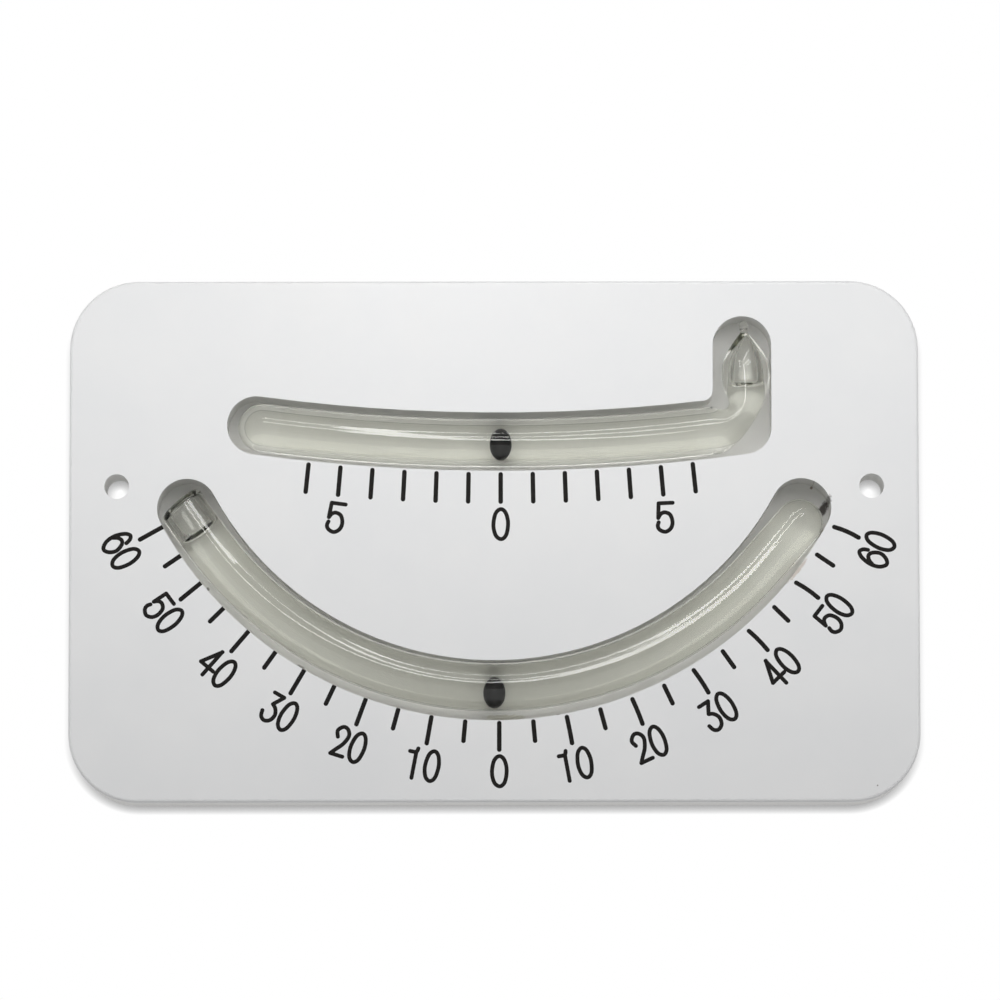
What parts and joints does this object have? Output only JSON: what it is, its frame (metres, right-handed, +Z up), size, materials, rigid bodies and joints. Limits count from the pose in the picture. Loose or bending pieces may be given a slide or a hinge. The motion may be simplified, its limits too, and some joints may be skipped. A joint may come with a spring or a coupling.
{
  "type": "boat clinometer",
  "caption": "White plate with two bent glass vials, each with a rolling ball that shows heel or trim on an engraved degree scale.",
  "frame": {"origin": "centre of the plate's flat back face", "axes": "+X to the right as the face is read, +Y out of the back towards the wall, +Z up"},
  "size_m": [0.13, 0.01, 0.08],
  "materials": {
    "white_plastic": "matte",
    "vial_glass": "clear, polished",
    "black_steel": "black, satin",
    "clear_adhesive": "clear, wet-looking",
    "black_paint": "matte"
  },
  "bodies": {
    "base": {"base_plate": "white_plastic", "upper_vial": "vial_glass", "lower_vial": "vial_glass", "upper_vial_adhesive": "clear_adhesive", "lower_vial_adhesive": "clear_adhesive", "upper_scale_marks": "black_paint", "lower_scale_marks": "black_paint"},
    "upper_ball": {"upper_ball": "black_steel"},
    "lower_ball": {"lower_ball": "black_steel"}
  },
  "joints": [
    {"name": "upper_ball_roll", "type": "hinge", "parent": "base", "child": "upper_ball", "pos_m": [0.001, -0.0059, 0.29145], "axis": [0, -1, 0], "range_deg": [-7.6, 6.8]},
    {"name": "lower_ball_roll", "type": "hinge", "parent": "base", "child": "lower_ball", "pos_m": [0, -0.0059, 0.0323], "axis": [0, -1, 0], "range_deg": [-59, 58.5]}
  ]
}
